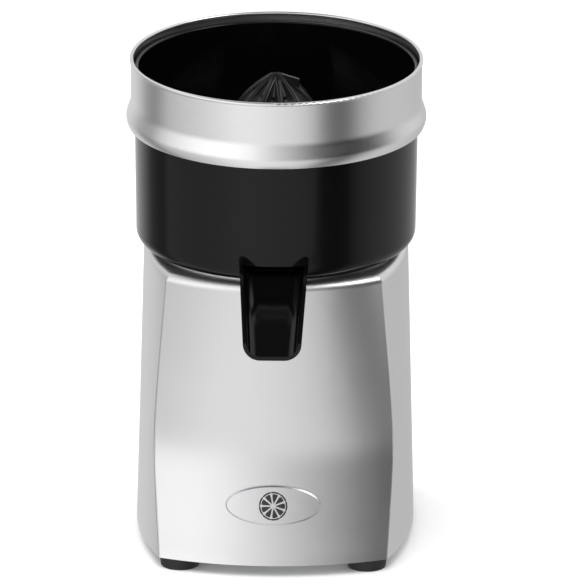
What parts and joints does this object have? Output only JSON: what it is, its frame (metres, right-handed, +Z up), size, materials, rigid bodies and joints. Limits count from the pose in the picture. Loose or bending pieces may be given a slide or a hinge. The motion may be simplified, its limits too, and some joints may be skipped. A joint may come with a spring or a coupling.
{
  "type": "citrus press juicer",
  "caption": "Upright motor-driven citrus juicer: silver cast body, black bowl with a front spout, steel splash guard, ribbed cone.",
  "frame": {"origin": "middle of the whole object's footprint, on the surface that it stands on", "axes": "+Z up; the spout points to -Y; +X is on the right of somebody in front of the spout"},
  "size_m": [0.2064, 0.2924, 0.3449],
  "materials": {
    "housing_silver": "satin silver",
    "badge_metal": "brushed",
    "steel_sheet": "rolled sheet",
    "plated_steel": "bright zinc plate",
    "foot_rubber": "matte",
    "bare_aluminium": "as cast",
    "matte_black": "fine texture",
    "terminal_brass": "tinned brass",
    "capacitor_can": "satin",
    "terminal_white": "satin",
    "lamination_steel": "stacked sheet",
    "copper_winding": "varnished copper wire",
    "bearing_steel": "ground",
    "shaft_steel": "ground",
    "rocker_black": "semi gloss",
    "black_gloss": "polished moulded plastic",
    "stainless_strainer": "bright stainless",
    "black_gloss_hub": "moulded plastic",
    "black_gloss_reamer": "moulded plastic",
    "stainless_guard": "circumferentially brushed stainless"
  },
  "bodies": {
    "housing": {"housing": "housing_silver", "base_plate": "steel_sheet", "base_screws": "plated_steel", "foot_screws": "plated_steel", "foot_nuts": "plated_steel", "foot_front_left": "foot_rubber", "foot_front_right": "foot_rubber", "foot_rear_left": "foot_rubber", "foot_rear_right": "foot_rubber", "badge": "badge_metal", "shaft_collar": "bare_aluminium", "shaft_seal": "foot_rubber", "gland_body": "matte_black", "gland_locknut": "matte_black", "switch_body": "matte_black", "switch_terminals": "terminal_brass", "capacitor": "capacitor_can", "capacitor_clip": "steel_sheet", "terminal_block": "terminal_white", "stator_stack": "lamination_steel", "windings_upper": "copper_winding", "windings_lower": "copper_winding", "end_shield_upper": "bare_aluminium", "end_shield_lower": "bare_aluminium", "tie_bolts": "plated_steel", "motor_screws": "plated_steel", "bearing_upper_outer_ring": "bearing_steel", "bearing_upper_balls": "bearing_steel", "bearing_lower_outer_ring": "bearing_steel", "bearing_lower_balls": "bearing_steel", "wave_washer": "plated_steel"},
    "rotor": {"motor_shaft": "shaft_steel", "rotor_stack": "lamination_steel", "cooling_fan": "matte_black", "bearing_upper_inner_ring": "bearing_steel", "bearing_lower_inner_ring": "bearing_steel"},
    "switch_rocker": {"switch_rocker": "rocker_black"},
    "bowl": {"bowl": "black_gloss"},
    "strainer": {"strainer": "stainless_strainer"},
    "drive_hub": {"drive_hub": "black_gloss_hub"},
    "reamer": {"reamer": "black_gloss_reamer"},
    "splash_guard": {"splash_guard": "stainless_guard"}
  },
  "joints": [
    {"name": "motor_spin", "type": "hinge", "parent": "housing", "child": "rotor", "pos_m": [0, 0.01375, 0.1], "axis": [0, 0, 1], "continuous": true},
    {"name": "switch_rock", "type": "hinge", "parent": "housing", "child": "switch_rocker", "pos_m": [0.0875, 0.04575, 0.075], "axis": [0, -1, 0], "range_deg": [0, 16]},
    {"name": "bowl_lift", "type": "slide", "parent": "housing", "child": "bowl", "axis": [0, 0, 1], "range_m": [0, 0.09]},
    {"name": "strainer_lift", "type": "slide", "parent": "bowl", "child": "strainer", "axis": [0, 0, 1], "range_m": [0, 0.2]},
    {"name": "reamer_spin", "type": "hinge", "parent": "strainer", "child": "drive_hub", "pos_m": [0, 0.01375, 0.213], "axis": [0, 0, 1], "continuous": true},
    {"name": "reamer_lift", "type": "slide", "parent": "drive_hub", "child": "reamer", "axis": [0, 0, 1], "range_m": [0, 0.09]},
    {"name": "guard_lift", "type": "slide", "parent": "bowl", "child": "splash_guard", "axis": [0, 0, 1], "range_m": [0, 0.06]}
  ],
  "couplings": [
    {"joint": "reamer_spin", "follows": "motor_spin", "ratio": 1}
  ]
}
